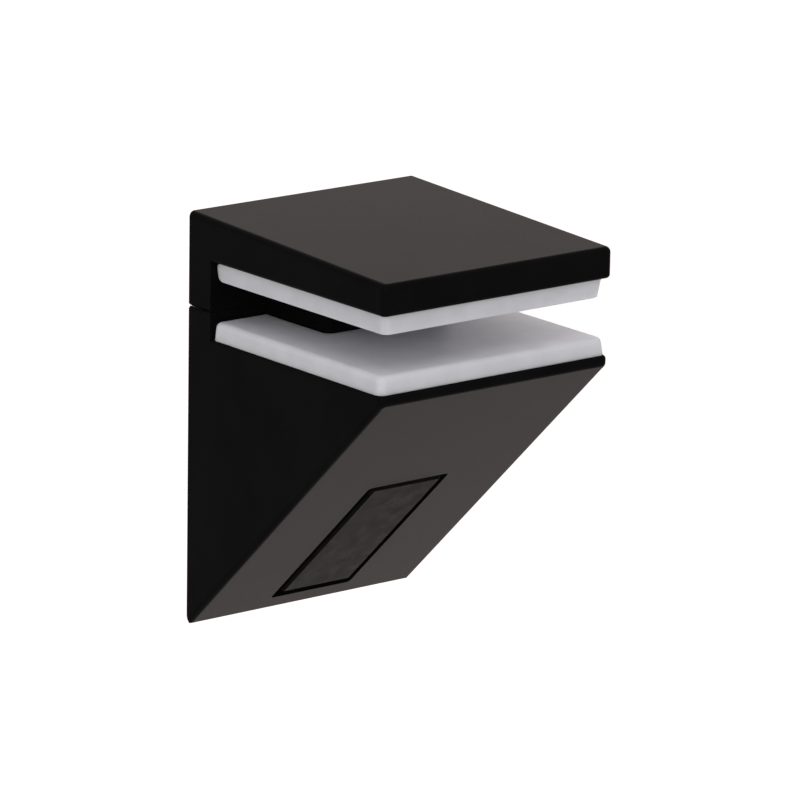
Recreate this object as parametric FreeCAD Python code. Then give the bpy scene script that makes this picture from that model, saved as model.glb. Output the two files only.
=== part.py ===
import FreeCAD, Part
import math
import os

# Clamp shelf bracket: a wedge-shaped cast body fixed to a wall, and a jaw that slides up and down on it.
# Millimetres. Back plane at y = 0, front towards -Y, +Z up, origin on the axis of the wall screw hole.
# Heights are measured from the lower tip of the wedge, and level() turns them into Z.

# Cast body
width = 53.0
body_depth = 57.4
seat_height = 56.6
lip_height = 1.8
tip_radius = 0.3
tip_corner_radius = 1.5
rear_wall = 6.6
rear_rise = 5.0
side_wall = 3.2
slant_wall = 3.0
rib_thickness = 3.0
side_pocket_width = 5.9
pocket_corner_radius = 1.5
pocket_end_wall = 6.0
corner_radius = 1.3
edge_radius = 1.1
seat_edge_radius = 0.7
seam_chamfer = 0.35

# Relief in the back face
relief_width = 38.0
relief_depth = 3.0
relief_bottom = 30.0
relief_top_margin = 5.0
relief_corner_radius = 3.0

# Wall screw hole
wall_hole_height = 17.0
wall_hole_diameter = 6.5
wall_seat_diameter = 13.0
wall_seat_thickness = 4.0

# Pads and the shelf gap
lower_pad_thickness = 3.35
upper_pad_thickness = 3.75
closed_gap = 7.5
lower_pad_front_inset = 0.5
lower_pad_side_inset = 0.2
lower_pad_draft = 0.4
lower_pad_corner_radius = 1.5
lower_pad_edge_radius = 1.2
upper_pad_front_inset = 1.1
upper_pad_side_inset = 1.0
upper_pad_draft = 0.5
upper_pad_corner_radius = 1.5
upper_pad_rear_corner_radius = 0.4
upper_pad_edge_radius = 0.3
upper_pad_end_radius = 1.7
pad_rear_gap = 0.3
pad_notch_gap = 0.4
tongue_depth = 1.6
tongue_fit = 0.2

# Sliding jaw
jaw_overhang = 0.6
jaw_rear_thickness = 8.4
jaw_front_thickness = 5.9
jaw_skin = 2.8
jaw_edge_radius = 1.1
jaw_lower_edge_radius = 0.7
seam_gap = 0.2
slide_clearance = 0.25
pillar_front = 26.0
pillar_corner_radius = 1.4
pillar_side_wall = 4.0
pillar_front_wall = 3.5
pillar_floor_gap = 0.6
boss_diameter = 11.0
boss_rib = 3.0
boss_bottom_gap = 2.0

# Clamp screw, its web and its retaining ring
boss_wall_gap = 0.5
screw_diameter = 6.0
screw_length = 45.0
screw_head_diameter = 10.0
screw_head_height = 6.0
screw_edge = 0.6
socket_width = 5.0
socket_depth = 3.0
web_top_height = 33.0
web_thickness = 3.0
web_side_gap = 0.3
head_gap = 0.1
web_hole_clearance = 0.3
thread_clearance = 0.06
bore_end_gap = 0.6
ring_thickness = 0.8
ring_diameter = 10.6
ring_lift = 0.2
groove_depth = 0.6
groove_side_gap = 0.05
ring_bore_gap = 0.08
ring_mouth = 4.2

# Cover cap in the slanted face, with distances along the slope measured from the tip
cap_recess_width = 18.8
cap_recess_start = 4.6
cap_recess_length = 40.8
cap_recess_depth = 1.8
cap_recess_corner = 0.8
cap_gap = 1.35
cap_rise = 0.7
cap_proud = 0.25
cap_corner_radius = 0.6
cap_edge = 0.45
cap_ledge = 1.8
access_start = 11.4
access_length = 23.0
access_corner_radius = 1.0
skirt_wall = 1.2
skirt_depth = 2.4
skirt_fit = 0.12
skirt_end_gap = 0.5
cap_seat_gap = 0.05

# Values that follow from those above
half_width = width / 2
slant_rise = seat_height - lip_height
slant_angle = math.atan2(slant_rise, body_depth)
floor_lift = slant_wall / math.cos(slant_angle)
seam_height = seat_height + rear_rise
jaw_depth = body_depth + jaw_overhang
jaw_underside = seat_height + lower_pad_thickness + closed_gap + upper_pad_thickness
jaw_rear_height = jaw_underside + jaw_rear_thickness
jaw_front_height = jaw_underside + jaw_front_thickness
side_pocket_inner = half_width - side_wall - side_pocket_width
channel_half = side_pocket_inner - rib_thickness
channel_front = pillar_front + slide_clearance
pillar_width = 2 * (channel_half - slide_clearance)
pillar_half = pillar_width / 2
pillar_rear = rear_wall + slide_clearance
core_half = pillar_half - pillar_side_wall
access_half = min(cap_recess_width / 2 - cap_ledge, core_half - web_side_gap)
boss_bottom = web_top_height + boss_bottom_gap
head_seat_height = web_top_height - web_thickness - head_gap
screw_top = head_seat_height + screw_length
screw_offset = rear_wall + boss_wall_gap + max(boss_diameter, ring_diameter, screw_head_diameter) / 2
groove_radius = screw_diameter / 2 - groove_depth
ring_bottom = web_top_height + ring_lift
overshoot = 20.0
tolerance = 0.01

along_x = FreeCAD.Vector(1, 0, 0)
up = FreeCAD.Vector(0, 0, 1)
slant_normal = FreeCAD.Vector(0, -math.sin(slant_angle), -math.cos(slant_angle))
slant_along = FreeCAD.Vector(0, -math.cos(slant_angle), math.sin(slant_angle))


def level(height):
    """Z of a height above the tip."""
    return height - wall_hole_height


def slant_height(front, lift=0.0):
    """Height of the slanted plane at a distance in front of the wall, raised by lift."""
    return front * math.tan(slant_angle) + lift


def on_plan(z):
    """Places (x, y) on a level plane."""
    return lambda x, y: FreeCAD.Vector(x, y, z)


def on_side(x):
    """Places (distance from the wall, height) on an upright plane across X."""
    return lambda front, height: FreeCAD.Vector(x, -front, level(height))


def on_back(x, height):
    """Places (x, height) on the back plane."""
    return FreeCAD.Vector(x, 0, level(height))


def on_slope(depth):
    """Places (x, distance along the slope) on the slanted face, depth mm below its surface."""
    base = FreeCAD.Vector(0, 0, level(0)) - slant_normal * depth
    return lambda x, run: base + along_x * x + slant_along * run


def rounded_face(corners, place):
    """A flat face through corners (a, b, radius), each rounded by its own radius."""
    tangents = []
    for index, (a, b, radius) in enumerate(corners):
        here = FreeCAD.Vector(a, b, 0)
        before = FreeCAD.Vector(*corners[index - 1][:2], 0) - here
        after = FreeCAD.Vector(*corners[(index + 1) % len(corners)][:2], 0) - here
        half_turn = before.getAngle(after) / 2
        before.normalize()
        after.normalize()
        reach = radius / math.tan(half_turn)
        middle = (before + after).normalize() * (radius / math.sin(half_turn) - radius)
        points = (here + before * reach, here + middle, here + after * reach)
        tangents.append([place(point.x, point.y) for point in points])
    edges = []
    for index, (start, middle, end) in enumerate(tangents):
        if corners[index][2] > 0:
            edges.append(Part.Arc(start, middle, end).toShape())
        edges.append(Part.makeLine(end, tangents[(index + 1) % len(tangents)][0]))
    return Part.Face(Part.Wire(edges))


def rectangle(x_half, y_low, y_high, radius=0.0):
    """Corners of a rectangle centred on x = 0."""
    corners = [(-x_half, y_low), (x_half, y_low), (x_half, y_high), (-x_half, y_high)]
    return [(x, y, radius) for x, y in corners]


def upright(corners, low, high):
    """A plan outline raised between two heights."""
    return rounded_face(corners, on_plan(level(low))).extrude(up * (high - low))


def across(corners, half):
    """A side profile of (distance from the wall, height, radius) run across X to both sides."""
    return rounded_face(corners, on_side(-half)).extrude(along_x * (2 * half))


def into_slope(corners, start, depth):
    """An outline on the slanted face run inwards by depth, from start below its surface."""
    return rounded_face(corners, on_slope(start)).extrude(slant_normal * -depth)


def cylinder(radius, length, base, axis):
    return Part.makeCylinder(radius, length, base, axis)


def flat_face(shape, direction):
    """The largest flat face of a shape that looks along direction."""
    flat = [face for face in shape.Faces if isinstance(face.Surface, Part.Plane)]
    looking = [face for face in flat if face.normalAt(0, 0).getAngle(direction) < tolerance]
    return max(looking, key=lambda face: face.Area)


def free_edges(face, front_limit):
    """The edges of a face that lie in front of a plane at a distance from the wall."""
    return [edge for edge in face.Edges if edge.BoundBox.YMin < -front_limit - tolerance]


def side_edges(shape, height):
    """The level edges of a shape at a height, on its two side faces."""
    level_edges = [edge for edge in shape.Edges if abs(edge.CenterOfMass.z - level(height)) < tolerance]
    return [edge for edge in level_edges if abs(abs(edge.CenterOfMass.x) - half_width) < tolerance]


def rising_edges(shape):
    """The edges of a shape that aren't level."""
    return [edge for edge in shape.Edges if edge.BoundBox.ZLength > tolerance]


def front_rounded(depth):
    """Plan outline of a cast piece: square at the wall, rounded at the two front corners."""
    return [
        (-half_width, 0, 0),
        (-half_width, -depth, corner_radius),
        (half_width, -depth, corner_radius),
        (half_width, 0, 0),
    ]


def side_pocket(side, inset=0.0):
    """Plan outline of the hollow beside the pillar channel on one side."""
    inner = side * (side_pocket_inner + inset)
    outer = side * (half_width - side_wall - inset)
    rear = -(rear_wall + rib_thickness + inset)
    front = -(body_depth - pocket_end_wall - inset)
    radius = pocket_corner_radius - inset
    return [(inner, rear, radius), (outer, rear, radius), (outer, front, radius), (inner, front, radius)]


def front_pocket(inset=0.0):
    """Plan outline of the hollow in front of the pillar channel."""
    rear = -(channel_front + rib_thickness + inset)
    front = -(body_depth - pocket_end_wall - inset)
    return rectangle(channel_half - inset, front, rear, pocket_corner_radius - inset)


def pockets(inset=0.0):
    return [side_pocket(-1, inset), side_pocket(1, inset), front_pocket(inset)]


def channel_outline():
    """Plan outline of the channel in which the pillar slides."""
    radius = pillar_corner_radius + slide_clearance
    return [
        (-channel_half, -rear_wall, 0),
        (-channel_half, -channel_front, radius),
        (channel_half, -channel_front, radius),
        (channel_half, -rear_wall, 0),
    ]


def body_shell():
    """The outer wedge with its rounded edges and tip."""
    wedge = across(
        [
            (0, 0, 0),
            (body_depth, slant_rise, 0),
            (body_depth, seat_height, 0),
            (rear_wall, seat_height, 0),
            (rear_wall, seam_height, 0),
            (0, seam_height, 0),
        ],
        half_width,
    )
    wedge = wedge.common(upright(front_rounded(body_depth), 0, seam_height))
    wedge = wedge.makeFillet(edge_radius, free_edges(flat_face(wedge, slant_normal), 0))
    wedge = wedge.makeFillet(seat_edge_radius, free_edges(flat_face(wedge, up), rear_wall))
    rounded_tip = across(
        [(0, 0, tip_radius), (body_depth, slant_rise, 0), (0, slant_rise, 0)],
        half_width,
    )
    above = across(
        [(0, slant_rise, 0), (body_depth, slant_rise, 0), (body_depth, seam_height, 0), (0, seam_height, 0)],
        half_width,
    )
    rounded_corners = into_slope(
        [
            (-half_width, 0, tip_corner_radius),
            (half_width, 0, tip_corner_radius),
            (half_width, body_depth + seam_height, 0),
            (-half_width, body_depth + seam_height, 0),
        ],
        0,
        seam_height,
    )
    return wedge.common(rounded_tip.fuse(above)).common(rounded_corners)


def hollow(outline):
    """The space over the slanted wall inside a plan outline, open at the top."""
    column = upright(outline, 0, seam_height + overshoot)
    over_wall = across(
        [
            (0, slant_height(0, floor_lift), 0),
            (body_depth, slant_height(body_depth, floor_lift), 0),
            (body_depth, seam_height + overshoot + body_depth, 0),
            (0, seam_height + overshoot + body_depth, 0),
        ],
        half_width,
    )
    return column.common(over_wall)


def screw_web():
    """The bridge across the channel that the clamp screw pulls against."""
    outline = rectangle(core_half - web_side_gap, -channel_front - rib_thickness / 2, -rear_wall / 2)
    return upright(outline, web_top_height - web_thickness, web_top_height)


def wall_screw_hole():
    """The wall screw hole with its flat seat for the screw head."""
    back = FreeCAD.Vector(0, 0, 0)
    forward = FreeCAD.Vector(0, -1, 0)
    seat = FreeCAD.Vector(0, -wall_seat_thickness, 0)
    hole = cylinder(wall_hole_diameter / 2, rear_wall, back, forward)
    return hole.fuse(cylinder(wall_seat_diameter / 2, rear_wall - wall_seat_thickness, seat, forward))


def back_relief():
    """A shallow hollow in the back, so that the rim bears on the wall."""
    top = seam_height - relief_top_margin
    corners = rectangle(relief_width / 2, relief_bottom, top, relief_corner_radius)
    return rounded_face(corners, on_back).extrude(FreeCAD.Vector(0, -relief_depth, 0))


def recess_outline(inset, radius):
    """Outline of the cap recess on the slope, made smaller by inset."""
    end = cap_recess_start + cap_recess_length
    return rectangle(cap_recess_width / 2 - inset, cap_recess_start + inset, end - inset, radius)


def cap_outline():
    """Outline of the cap on the slope, which sits a little high in its recess."""
    return [(x, run + cap_rise, radius) for x, run, radius in recess_outline(cap_gap, cap_corner_radius)]


def access_outline(inset, radius):
    """Outline of the tool opening, which lies between the pillar's prongs, made smaller by inset."""
    return rectangle(access_half - inset, access_start + inset, access_start + access_length - inset, radius)


def make_lower_body():
    shell = body_shell()
    body = shell
    for outline in [channel_outline()] + pockets():
        body = body.cut(hollow(outline))
    body = body.fuse(screw_web().common(shell))
    web_hole = FreeCAD.Vector(0, -screw_offset, level(web_top_height - web_thickness))
    body = body.cut(cylinder(screw_diameter / 2 + web_hole_clearance, web_thickness, web_hole, up))
    body = body.cut(wall_screw_hole())
    body = body.cut(back_relief())
    body = body.cut(into_slope(recess_outline(0, cap_recess_corner), 0, cap_recess_depth))
    access_depth = max(slant_wall, cap_recess_depth + skirt_depth + skirt_end_gap)
    body = body.cut(into_slope(access_outline(0, access_corner_radius), 0, access_depth))
    body = body.removeSplitter()
    return body.makeChamfer(seam_chamfer, side_edges(body, seam_height))


def jaw_plate():
    """The sloped plate and the leg behind it, with rounded edges."""
    leg_bottom = seam_height + seam_gap
    plate = across(
        [
            (0, leg_bottom, 0),
            (rear_wall, leg_bottom, 0),
            (rear_wall, jaw_underside, 0),
            (jaw_depth, jaw_underside, 0),
            (jaw_depth, jaw_front_height, 0),
            (0, jaw_rear_height, 0),
        ],
        half_width,
    )
    plate = plate.common(upright(front_rounded(jaw_depth), leg_bottom, jaw_rear_height))
    fall = math.atan2(jaw_rear_height - jaw_front_height, jaw_depth)
    top = flat_face(plate, FreeCAD.Vector(0, -math.sin(fall), math.cos(fall)))
    plate = plate.makeFillet(jaw_edge_radius, free_edges(top, 0))
    plate = plate.makeFillet(jaw_lower_edge_radius, free_edges(flat_face(plate, -up), rear_wall))
    return plate.makeChamfer(seam_chamfer, side_edges(plate, leg_bottom))


def pillar():
    """The sliding pillar: front wall, two side walls that reach low, and a threaded boss."""
    outline = [
        (-pillar_half, -rear_wall / 2, 0),
        (-pillar_half, -pillar_front, pillar_corner_radius),
        (pillar_half, -pillar_front, pillar_corner_radius),
        (pillar_half, -rear_wall / 2, 0),
    ]
    lift = floor_lift + pillar_floor_gap / math.cos(slant_angle)
    top = jaw_underside + jaw_front_thickness - jaw_skin
    allowed = across(
        [
            (pillar_rear, slant_height(pillar_rear, lift), 0),
            (pillar_front, slant_height(pillar_front, lift), 0),
            (pillar_front, top, 0),
            (rear_wall / 2, top, 0),
            (rear_wall / 2, seam_height + seam_gap, 0),
            (pillar_rear, seam_height + seam_gap, 0),
        ],
        pillar_half,
    )
    block = upright(outline, 0, top).common(allowed)
    below_boss = upright(rectangle(core_half, -pillar_front, 0), 0, boss_bottom)
    core = upright(rectangle(core_half, -(pillar_front - pillar_front_wall), -rear_wall), 0, jaw_underside)
    base = FreeCAD.Vector(0, -screw_offset, level(boss_bottom))
    boss = cylinder(boss_diameter / 2, top - boss_bottom, base, up)
    rib_front = pillar_front - pillar_front_wall / 2
    rib = upright(rectangle(boss_rib / 2, -rib_front, -screw_offset), boss_bottom, top)
    return block.cut(below_boss).cut(core).fuse([boss, rib])


def make_upper_jaw():
    jaw = jaw_plate()
    pocket_depth = jaw_front_thickness - jaw_skin
    for outline in pockets():
        jaw = jaw.cut(upright(outline, jaw_underside, jaw_underside + pocket_depth))
    jaw = jaw.fuse(pillar())
    base = FreeCAD.Vector(0, -screw_offset, level(boss_bottom))
    bore_length = screw_top + bore_end_gap - boss_bottom
    jaw = jaw.cut(cylinder(screw_diameter / 2 + thread_clearance, bore_length, base, up))
    return jaw.removeSplitter()


def pad_notch():
    """The room that a pad leaves for the pillar."""
    side = pillar_half + pad_notch_gap
    front = -(pillar_front + pad_notch_gap)
    radius = pillar_corner_radius + pad_notch_gap
    outline = [(-side, 0, 0), (-side, front, radius), (side, front, radius), (side, 0, 0)]
    return upright(outline, 0, jaw_rear_height)


def pad_plate(half, front, seat, thickness, draft):
    """A plate on a seat that grows by thickness, up or down, with its front and its sides drafted."""
    rear = rear_wall + pad_rear_gap
    far = seat + thickness
    side_view = across([(rear, seat, 0), (front, seat, 0), (front - draft, far, 0), (rear, far, 0)], half)
    front_view = rounded_face(
        [(-half, seat, 0), (half, seat, 0), (half - draft, far, 0), (draft - half, far, 0)], on_back
    )
    return side_view.common(front_view.extrude(FreeCAD.Vector(0, -front, 0)))


def round_corners(plate, radius, rear_radius):
    """Rounds the rising edges of a pad plate, with one radius in front and one at the rear."""
    middle = plate.BoundBox.Center.y
    front_edges = [edge for edge in rising_edges(plate) if edge.CenterOfMass.y < middle]
    plate = plate.makeFillet(radius, front_edges)
    rear_edges = [edge for edge in rising_edges(plate) if edge.CenterOfMass.y > middle]
    return plate.makeFillet(rear_radius, rear_edges)


def fitted_pad(plate, seat, into):
    """A pad with its notch for the pillar, and with tongues that reach into the pockets behind its seat."""
    fitted = plate.cut(pad_notch())
    for outline in pockets(tongue_fit):
        tongue = rounded_face(outline, on_plan(level(seat)))
        fitted = fitted.fuse(tongue.extrude(into * tongue_depth))
    return fitted.removeSplitter()


def make_lower_pad():
    half = half_width - lower_pad_side_inset
    front = body_depth - lower_pad_front_inset
    plate = pad_plate(half, front, seat_height, lower_pad_thickness, lower_pad_draft)
    plate = round_corners(plate, lower_pad_corner_radius, lower_pad_corner_radius)
    plate = plate.makeFillet(lower_pad_edge_radius, flat_face(plate, up).Edges)
    return fitted_pad(plate, seat_height, -up)


def make_upper_pad():
    """The pad under the jaw, with its rear ends rounded above and below."""
    half = half_width - upper_pad_side_inset
    front = jaw_depth - upper_pad_front_inset
    plate = pad_plate(half, front, jaw_underside, -upper_pad_thickness, upper_pad_draft)
    plate = round_corners(plate, upper_pad_corner_radius, upper_pad_rear_corner_radius)
    plate = plate.makeFillet(upper_pad_edge_radius, flat_face(plate, -up).Edges)
    rear = rear_wall + pad_rear_gap
    low = jaw_underside - upper_pad_thickness
    end_radius = min(upper_pad_end_radius, upper_pad_thickness / 2 - tolerance)
    rounded_ends = across(
        [
            (rear, low, end_radius),
            (front, low, 0),
            (front, jaw_underside, 0),
            (rear, jaw_underside, end_radius),
        ],
        half,
    )
    return fitted_pad(plate.common(rounded_ends), jaw_underside, up)


def make_cover_cap():
    """A plate that rests on the recess floor and stands slightly proud, with a skirt in the tool opening."""
    thickness = cap_recess_depth - cap_seat_gap
    plate = into_slope(cap_outline(), -cap_proud, cap_proud + thickness)
    plate = plate.makeChamfer(cap_edge, flat_face(plate, slant_normal).Edges)
    skirt = into_slope(access_outline(skirt_fit, access_corner_radius - skirt_fit), thickness, skirt_depth)
    inside = into_slope(access_outline(skirt_fit + skirt_wall, 0), thickness, skirt_depth)
    return plate.fuse(skirt.cut(inside)).removeSplitter()


def hexagon(across_flats, y):
    """Plan corners of a hexagon centred at (0, y)."""
    reach = across_flats / math.sqrt(3)
    turns = [math.radians(60 * k) for k in range(6)]
    return [(reach * math.cos(turn), y + reach * math.sin(turn), 0) for turn in turns]


def make_clamp_screw():
    """A hex socket head screw, head down, with a groove for the retaining ring."""
    shank = screw_diameter / 2
    head = screw_head_diameter / 2
    groove_low = ring_bottom - groove_side_gap
    groove_high = ring_bottom + ring_thickness + groove_side_gap
    head_low = head_seat_height - screw_head_height
    profile = [
        (0, head_low),
        (head - screw_edge, head_low),
        (head, head_low + screw_edge),
        (head, head_seat_height),
        (shank, head_seat_height),
        (shank, groove_low),
        (groove_radius, groove_low),
        (groove_radius, groove_high),
        (shank, groove_high),
        (shank, screw_top - screw_edge),
        (shank - screw_edge, screw_top),
        (0, screw_top),
    ]
    axis_point = FreeCAD.Vector(0, -screw_offset, 0)
    corners = [(radius, height, 0) for radius, height in profile]
    face = rounded_face(corners, lambda radius, height: axis_point + FreeCAD.Vector(radius, 0, level(height)))
    turned = face.revolve(axis_point, up, 360)
    return turned.cut(upright(hexagon(socket_width, -screw_offset), head_low, head_low + socket_depth))


def make_retaining_ring():
    """A snap ring with an open mouth, in the groove of the clamp screw."""
    base = FreeCAD.Vector(0, -screw_offset, level(ring_bottom))
    ring = cylinder(ring_diameter / 2, ring_thickness, base, up)
    ring = ring.cut(cylinder(groove_radius + ring_bore_gap, ring_thickness, base, up))
    mouth = rectangle(ring_mouth / 2, -screw_offset - ring_diameter, -screw_offset)
    return ring.cut(upright(mouth, ring_bottom, ring_bottom + ring_thickness))


def main():
    pieces = {
        "lower_body": make_lower_body(),
        "upper_jaw": make_upper_jaw(),
        "lower_pad": make_lower_pad(),
        "upper_pad": make_upper_pad(),
        "cover_cap": make_cover_cap(),
        "clamp_screw": make_clamp_screw(),
        "retaining_ring": make_retaining_ring(),
    }
    os.makedirs("parts", exist_ok=True)
    for name, shape in pieces.items():
        shape.exportStep(f"parts/{name}.step")
        print(name, len(shape.Solids), shape.isValid(), round(shape.Volume, 1))


main()
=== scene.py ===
import math

import bmesh
import bpy
from mathutils import Matrix, Vector


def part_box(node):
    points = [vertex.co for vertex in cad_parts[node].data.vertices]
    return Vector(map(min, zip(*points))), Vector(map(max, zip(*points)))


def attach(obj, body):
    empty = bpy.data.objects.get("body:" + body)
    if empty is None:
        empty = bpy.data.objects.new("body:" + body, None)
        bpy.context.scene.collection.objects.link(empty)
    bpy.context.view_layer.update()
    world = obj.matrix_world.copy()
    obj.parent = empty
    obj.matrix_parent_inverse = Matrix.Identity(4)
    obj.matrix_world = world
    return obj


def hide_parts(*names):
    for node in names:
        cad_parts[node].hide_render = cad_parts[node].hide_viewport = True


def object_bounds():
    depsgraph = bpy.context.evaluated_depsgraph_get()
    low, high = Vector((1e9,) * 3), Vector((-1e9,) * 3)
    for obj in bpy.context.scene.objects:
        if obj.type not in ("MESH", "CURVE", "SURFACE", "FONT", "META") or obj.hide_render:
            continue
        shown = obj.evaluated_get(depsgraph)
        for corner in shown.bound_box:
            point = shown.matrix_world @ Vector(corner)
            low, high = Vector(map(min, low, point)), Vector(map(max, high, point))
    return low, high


# Looks of the clamp shelf bracket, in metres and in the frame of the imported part:
# the back plane lies at y = 0 and the front faces -Y.

# Camera, fitted to the outline of the object in a picture of 800 by 800 pixels
camera_azimuth = math.radians(-38.599)
camera_elevation = math.radians(14.882)
camera_roll = math.radians(0.947)
camera_distance = 1.10516
camera_target = Vector((0.00055, -0.029, 0.02886))
camera_lens = 270.0
camera_sensor = 36.0

# Stage and light, with the lamps placed from the camera's target
floor_drop = 0.6
floor_size = 14.0
floor_roughness = 0.9
floor_colour = (0.86, 0.82, 0.81, 1.0)
floor_glow_colour = (1.0, 0.9, 0.89, 1.0)
floor_glow = 0.7
backdrop_colour = (1.0, 1.0, 1.0, 1.0)
wall_colour = (1.0, 0.91, 0.9, 1.0)
sky_colour = (0.97, 0.985, 1.0, 1.0)
sky_strength = 0.5
overhead_box = {"size": 1.2, "power": 3.5, "place": Vector((-0.1, -0.25, 1.0))}
front_box = {"size": 0.7, "power": 4.6, "place": Vector((-0.8, -1.05, 0.3))}
rear_fill = {"size": 0.5, "power": 8.0, "place": Vector((0.85, 0.9, -0.3))}
reflector_colour = (1.0, 0.86, 0.84)
rear_reflector = {"size": 1.2, "power": 3.5, "place": Vector((0.906, 1.095, 0.48))}
low_reflector = {"size": 0.5, "power": 0.8, "place": Vector((0.302, 0.146, -0.371))}

# Part of the range of a noise over which a gloss or a colour goes from one end to the other
gloss_noise = (0.3, 0.7)
colour_noise = (0.35, 0.65)

# Black paint of the castings, with the cells of each pattern counted in a metre
paint_colours = ((0.0036, 0.0035, 0.0035), (0.0050, 0.0048, 0.0048))
paint_roughness = (0.28, 0.31)
paint_specular = 0.0085
paint_patches = {"cells": 90.0, "detail": 3.0}
paint_peel = {"cells": 1500.0, "detail": 3.0, "strength": 0.1, "height": 0.00002}
paint_grain = {"cells": 7000.0, "detail": 1.0, "strength": 0.05, "height": 0.000004}

# Milky plastic of the pads
milky_colours = ((0.64, 0.64, 0.67), (0.68, 0.68, 0.71))
milky_roughness = (0.40, 0.50)
milky_specular = 0.12
milky_index = 1.48
milky_scatter_weight = 0.85
milky_scatter_tint = (1.0, 1.0, 1.05)
milky_scatter_depth = 0.0028
milky_clouds = {"cells": 220.0, "detail": 2.0}
milky_grain = {"cells": 2600.0, "detail": 2.0, "strength": 0.2, "height": 0.00002}

# Black plastic of the cover cap
cap_colours = ((0.0034, 0.0031, 0.0031), (0.0064, 0.0058, 0.0057))
cap_roughness = (0.24, 0.46)
cap_specular = 0.0046
cap_mottle = {"cells": 300.0, "detail": 5.0, "distortion": 0.8, "strength": 0.25, "height": 0.00003}
cap_grain = {"cells": 5200.0, "detail": 2.0, "strength": 0.35, "height": 0.00001}

# Steel of the screw and of its ring, with tool marks that are far finer along the axis than across it
screw_colours = ((0.36, 0.36, 0.37), (0.48, 0.48, 0.49))
screw_roughness = (0.26, 0.38)
ring_colours = ((0.08, 0.08, 0.085), (0.13, 0.13, 0.135))
ring_roughness = (0.24, 0.36)
tool_mark_cells = (300.0, 300.0, 9000.0)
tool_marks = {"cells": 1.0, "detail": 2.0, "strength": 0.2, "height": 0.000008}

# Clamp screw, whose ends, axis and head width come from the frame
screw_segments = 72
shank_radius = 0.003
head_height = 0.006
screw_edge = 0.0006
groove_radius = 0.0024
groove_side_gap = 0.00005
socket_width = 0.005
socket_depth = 0.003
thread_pitch = 0.001
thread_depth = 0.0005
thread_flat_share = 0.125
thread_samples = 8
knurl_count = 36
knurl_depth = 0.00012
hexagon_side = math.radians(60)
crease_angle = math.radians(35)


def node(tree, kind, **values):
    """A shader node with its inputs set by name."""
    made = tree.nodes.new(kind)
    for name, value in values.items():
        made.inputs[name.replace("_", " ")].default_value = value
    return made


def noise_at(tree, place, pattern):
    """Noise of a pattern at the given coordinates."""
    made = node(tree, "ShaderNodeTexNoise", Scale=pattern["cells"], Detail=pattern["detail"])
    made.inputs["Distortion"].default_value = pattern.get("distortion", 0.0)
    tree.links.new(place, made.inputs["Vector"])
    return made.outputs["Fac"]


def noise(tree, pattern):
    """Noise of a pattern in the object's own coordinates."""
    place = tree.nodes.new("ShaderNodeTexCoord")
    return noise_at(tree, place.outputs["Object"], pattern)


def stretched_noise(tree, cells, pattern):
    """Noise of a pattern in the object's own coordinates, with its own number of cells along each axis."""
    place = tree.nodes.new("ShaderNodeTexCoord")
    stretch = node(tree, "ShaderNodeMapping", Scale=cells)
    tree.links.new(place.outputs["Object"], stretch.inputs["Vector"])
    return noise_at(tree, stretch.outputs["Vector"], pattern)


def spread(tree, source, limits):
    """A noise value stretched over the limits."""
    made = tree.nodes.new("ShaderNodeMapRange")
    made.inputs["From Min"].default_value, made.inputs["From Max"].default_value = gloss_noise
    made.inputs["To Min"].default_value, made.inputs["To Max"].default_value = limits
    tree.links.new(source, made.inputs["Value"])
    return made.outputs["Result"]


def blend(tree, source, colours):
    """A colour between two, by a noise value."""
    made = tree.nodes.new("ShaderNodeValToRGB")
    for element, position, colour in zip(made.color_ramp.elements, colour_noise, colours):
        element.position = position
        element.color = (*colour, 1.0)
    tree.links.new(source, made.inputs["Fac"])
    return made.outputs["Color"]


def bump(tree, source, pattern, under=None):
    """Relief from a noise value, as strong and high as its pattern says, on top of another relief."""
    made = node(tree, "ShaderNodeBump", Strength=pattern["strength"], Distance=pattern["height"])
    tree.links.new(source, made.inputs["Height"])
    if under:
        tree.links.new(under, made.inputs["Normal"])
    return made.outputs["Normal"]


def new_material(name):
    """A node material with a plain shader, its tree and its shader."""
    material = bpy.data.materials.new(name)
    material.use_nodes = True
    tree = material.node_tree
    return material, tree, tree.nodes["Principled BSDF"]


def link_surface(tree, shader, colour, roughness, relief):
    """Gives a shader its colour, its roughness and its relief."""
    tree.links.new(colour, shader.inputs["Base Color"])
    tree.links.new(roughness, shader.inputs["Roughness"])
    tree.links.new(relief, shader.inputs["Normal"])


def painted_casting():
    """Black satin paint on cast metal: fine orange peel and a faint change of gloss."""
    material, tree, shader = new_material("black_paint")
    colour = blend(tree, noise(tree, paint_patches), paint_colours)
    peel = noise(tree, paint_peel)
    relief = bump(tree, noise(tree, paint_grain), paint_grain, bump(tree, peel, paint_peel))
    link_surface(tree, shader, colour, spread(tree, peel, paint_roughness), relief)
    shader.inputs["Specular IOR Level"].default_value = paint_specular
    return material


def milky_plastic():
    """Translucent milky plastic with a soft moulded surface."""
    material, tree, shader = new_material("milky_plastic")
    colour = blend(tree, noise(tree, milky_clouds), milky_colours)
    grain = noise(tree, milky_grain)
    relief = bump(tree, grain, milky_grain)
    link_surface(tree, shader, colour, spread(tree, grain, milky_roughness), relief)
    shader.inputs["Subsurface Weight"].default_value = milky_scatter_weight
    shader.inputs["Subsurface Radius"].default_value = milky_scatter_tint
    shader.inputs["Subsurface Scale"].default_value = milky_scatter_depth
    shader.inputs["IOR"].default_value = milky_index
    shader.inputs["Specular IOR Level"].default_value = milky_specular
    return material


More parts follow.
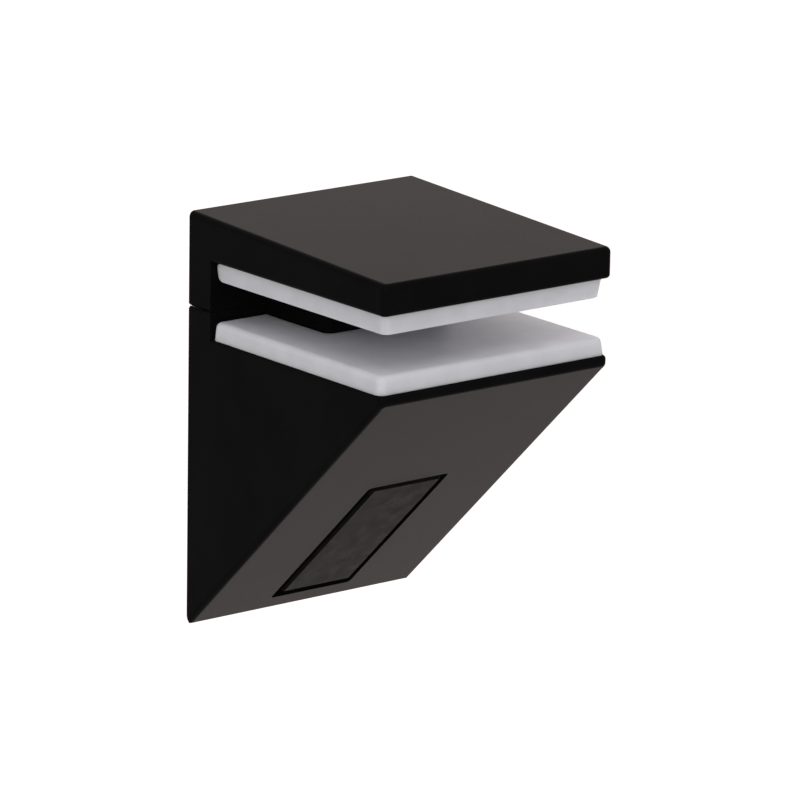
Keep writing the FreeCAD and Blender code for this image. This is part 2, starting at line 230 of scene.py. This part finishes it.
def black_plastic():
    """Moulded matte black plastic of the cover cap, with a faintly mottled skin."""
    material, tree, shader = new_material("black_plastic")
    mottle = noise(tree, cap_mottle)
    colour = blend(tree, mottle, cap_colours)
    relief = bump(tree, noise(tree, cap_grain), cap_grain, bump(tree, mottle, cap_mottle))
    link_surface(tree, shader, colour, spread(tree, mottle, cap_roughness), relief)
    shader.inputs["Specular IOR Level"].default_value = cap_specular
    return material


def brushed_metal(name, colours, roughness):
    """Machined steel with fine rings round an upright axis."""
    material, tree, shader = new_material(name)
    marks = stretched_noise(tree, tool_mark_cells, tool_marks)
    colour = blend(tree, marks, colours)
    link_surface(tree, shader, colour, spread(tree, marks, roughness), bump(tree, marks, tool_marks))
    shader.inputs["Metallic"].default_value = 1.0
    return material


def dress(node_name, material):
    """Gives a CAD node its finish."""
    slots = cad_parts[node_name].data.materials
    slots.clear()
    slots.append(material)


def circle(radius):
    """The same radius at every turn."""
    return lambda turn: radius


def hexagon(across_flats):
    """Radius of a hexagon at a turn, with a corner at turn 0."""
    return lambda turn: across_flats / 2 / math.cos(turn % hexagon_side - hexagon_side / 2)


def knurled(radius):
    """A radius that dips between the ridges of a knurl."""
    return lambda turn: radius - knurl_depth * (1 - math.cos(knurl_count * turn)) / 2


def threaded(height):
    """Radius of the right-hand thread at a height, with flats on its crest and in its root."""
    def radius(turn):
        phase = (height / thread_pitch - turn / math.tau) % 1
        depth = (abs(2 * phase - 1) - thread_flat_share) / (1 - 2 * thread_flat_share)
        return shank_radius - thread_depth * min(max(depth, 0), 1)
    return radius


def screw_rings(low, high, head_radius):
    """Heights and radii from the floor of the socket, round the head and the groove, and up to the tip."""
    groove_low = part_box("retaining_ring")[0].z - groove_side_gap
    groove_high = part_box("retaining_ring")[1].z + groove_side_gap
    rings = [
        (low + socket_depth, hexagon(socket_width)),
        (low, hexagon(socket_width)),
        (low, circle(head_radius - screw_edge)),
        (low + screw_edge, knurled(head_radius)),
        (low + head_height, knurled(head_radius)),
        (low + head_height, circle(shank_radius)),
        (groove_low, circle(shank_radius)),
        (groove_low, circle(groove_radius)),
        (groove_high, circle(groove_radius)),
    ]
    thread_length = high - screw_edge - groove_high
    steps = round(thread_length / thread_pitch * thread_samples)
    heights = [groove_high + thread_length * step / steps for step in range(steps + 1)]
    rings += [(height, threaded(height)) for height in heights]
    rings.append((high, circle(shank_radius - screw_edge)))
    return rings


def screw_loops(shape, low, high):
    """Loops of points round the screw's axis, one for each height and radius."""
    middle = (low + high) / 2
    turns = [math.tau * k / screw_segments for k in range(screw_segments)]
    loops = []
    for height, radius in screw_rings(low.z, high.z, (high.x - low.x) / 2):
        arms = [radius(turn) * Vector((math.cos(turn), math.sin(turn), 0)) for turn in turns]
        loops.append([shape.verts.new((middle.x + arm.x, middle.y + arm.y, height)) for arm in arms])
    return loops


def skin(shape, loops):
    """Faces between neighbouring loops of points and over both ends."""
    for first, second in zip(loops, loops[1:]):
        for k in range(screw_segments):
            shape.faces.new((first[k - 1], first[k], second[k], second[k - 1]))
    shape.faces.new(loops[0])
    shape.faces.new(loops[-1])
    bmesh.ops.recalc_face_normals(shape, faces=shape.faces)


def smooth(shape):
    """Smooth shading that breaks at sharp edges."""
    for face in shape.faces:
        face.smooth = True
    for edge in shape.edges:
        edge.smooth = edge.calc_face_angle() < crease_angle


def make_threaded_screw(material):
    """The clamp screw with its thread, its knurled head and its socket, in place of the plain solid."""
    low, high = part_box("clamp_screw")
    shape = bmesh.new()
    skin(shape, screw_loops(shape, low, high))
    smooth(shape)
    mesh = bpy.data.meshes.new("threaded_screw")
    shape.to_mesh(mesh)
    shape.free()
    mesh.materials.append(material)
    screw = bpy.data.objects.new("threaded_screw", mesh)
    bpy.context.scene.collection.objects.link(screw)
    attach(screw, "screw")
    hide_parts("clamp_screw")


def rays(tree, *kinds):
    """1 for rays of any of these kinds and 0 for the others."""
    path = tree.nodes.new("ShaderNodeLightPath")
    found = path.outputs[kinds[0]]
    for kind in kinds[1:]:
        either = tree.nodes.new("ShaderNodeMath")
        either.operation = "MAXIMUM"
        tree.links.new(found, either.inputs[0])
        tree.links.new(path.outputs[kind], either.inputs[1])
        found = either.outputs["Value"]
    return found


def mix(tree, share, first, second):
    """The first shader where the share is 0 and the second where it is 1."""
    made = tree.nodes.new("ShaderNodeMixShader")
    tree.links.new(share, made.inputs["Fac"])
    tree.links.new(first, made.inputs[1])
    tree.links.new(second, made.inputs[2])
    return made.outputs["Shader"]


def make_world():
    """A white background for the camera, pale walls in glossy and clear surfaces, and a sky for light."""
    world = bpy.data.worlds.new("studio")
    world.use_nodes = True
    tree = world.node_tree
    sky = tree.nodes["Background"]
    sky.inputs["Color"].default_value = sky_colour
    sky.inputs["Strength"].default_value = sky_strength
    walls = node(tree, "ShaderNodeBackground", Color=wall_colour)
    white = node(tree, "ShaderNodeBackground", Color=backdrop_colour)
    mirrored = rays(tree, "Is Glossy Ray", "Is Transmission Ray")
    around = mix(tree, mirrored, sky.outputs["Background"], walls.outputs["Background"])
    seen = mix(tree, rays(tree, "Is Camera Ray"), around, white.outputs["Background"])
    tree.links.new(seen, tree.nodes["World Output"].inputs["Surface"])
    bpy.context.scene.world = world


def make_floor():
    """A plain pale floor well below the bracket, which hangs on no wall here.

    Its glow shows to the camera and in glossy and clear surfaces, and lights no matte ones.
    """
    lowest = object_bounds()[0].z
    bpy.ops.mesh.primitive_plane_add(size=floor_size, location=(0, 0, lowest - floor_drop))
    floor = bpy.context.object
    floor.name = "floor"
    material, tree, shader = new_material("pale_floor")
    shader.inputs["Base Color"].default_value = floor_colour
    shader.inputs["Roughness"].default_value = floor_roughness
    shader.inputs["Specular IOR Level"].default_value = 0.0
    shader.inputs["Emission Color"].default_value = floor_glow_colour
    glow = node(tree, "ShaderNodeMapRange", To_Max=floor_glow)
    tree.links.new(rays(tree, "Is Camera Ray", "Is Glossy Ray", "Is Transmission Ray"), glow.inputs["Value"])
    tree.links.new(glow.outputs["Result"], shader.inputs["Emission Strength"])
    floor.data.materials.append(material)


def make_softbox(name, box):
    """A large soft lamp that faces the bracket."""
    lamp = bpy.data.lights.new(name, "AREA")
    lamp.shape = "SQUARE"
    lamp.size = box["size"]
    lamp.energy = box["power"]
    holder = bpy.data.objects.new(name, lamp)
    holder.location = camera_target + box["place"]
    holder.rotation_euler = box["place"].to_track_quat("Z", "Y").to_euler()
    holder.visible_camera = False
    bpy.context.scene.collection.objects.link(holder)
    return holder


def make_fill(name, box):
    """A soft lamp that lights the far sides and shows in no glossy surface."""
    make_softbox(name, box).visible_glossy = False


def make_reflector(name, box):
    """A warm panel that shows only in glossy surfaces."""
    holder = make_softbox(name, box)
    holder.data.color = reflector_colour
    holder.visible_diffuse = False


def make_camera():
    """The camera at the photograph's viewing angle, with its slight roll."""
    side_share = math.cos(camera_elevation)
    back = Vector((
        math.sin(camera_azimuth) * side_share,
        -math.cos(camera_azimuth) * side_share,
        math.sin(camera_elevation),
    ))
    right = (-back).cross(Vector((0, 0, 1))).normalized()
    above = right.cross(-back)
    turned_right = right * math.cos(camera_roll) + above * math.sin(camera_roll)
    turned_up = above * math.cos(camera_roll) - right * math.sin(camera_roll)
    data = bpy.data.cameras.new("camera")
    data.lens = camera_lens
    data.sensor_width = camera_sensor
    camera = bpy.data.objects.new("camera", data)
    axes = Matrix((turned_right, turned_up, back)).transposed()
    camera.matrix_world = Matrix.Translation(camera_target + back * camera_distance) @ axes.to_4x4()
    bpy.context.scene.collection.objects.link(camera)
    bpy.context.scene.camera = camera


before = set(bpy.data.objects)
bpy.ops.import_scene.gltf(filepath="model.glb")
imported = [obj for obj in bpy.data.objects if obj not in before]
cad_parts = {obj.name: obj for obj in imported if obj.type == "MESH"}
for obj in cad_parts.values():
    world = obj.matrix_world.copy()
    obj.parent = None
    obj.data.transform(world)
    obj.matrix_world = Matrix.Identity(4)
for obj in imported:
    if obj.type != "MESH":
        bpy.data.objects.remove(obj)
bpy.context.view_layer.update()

paint = painted_casting()
milky = milky_plastic()
dress("lower_body", paint)
dress("upper_jaw", paint)
dress("lower_pad", milky)
dress("upper_pad", milky)
dress("cover_cap", black_plastic())
make_threaded_screw(brushed_metal("screw_steel", screw_colours, screw_roughness))
dress("retaining_ring", brushed_metal("spring_steel", ring_colours, ring_roughness))

make_world()
make_floor()
make_softbox("overhead_softbox", overhead_box)
make_softbox("front_softbox", front_box)
make_fill("rear_fill", rear_fill)
make_reflector("rear_reflector", rear_reflector)
make_reflector("low_reflector", low_reflector)
make_camera()
bpy.context.scene.view_settings.view_transform = "Standard"
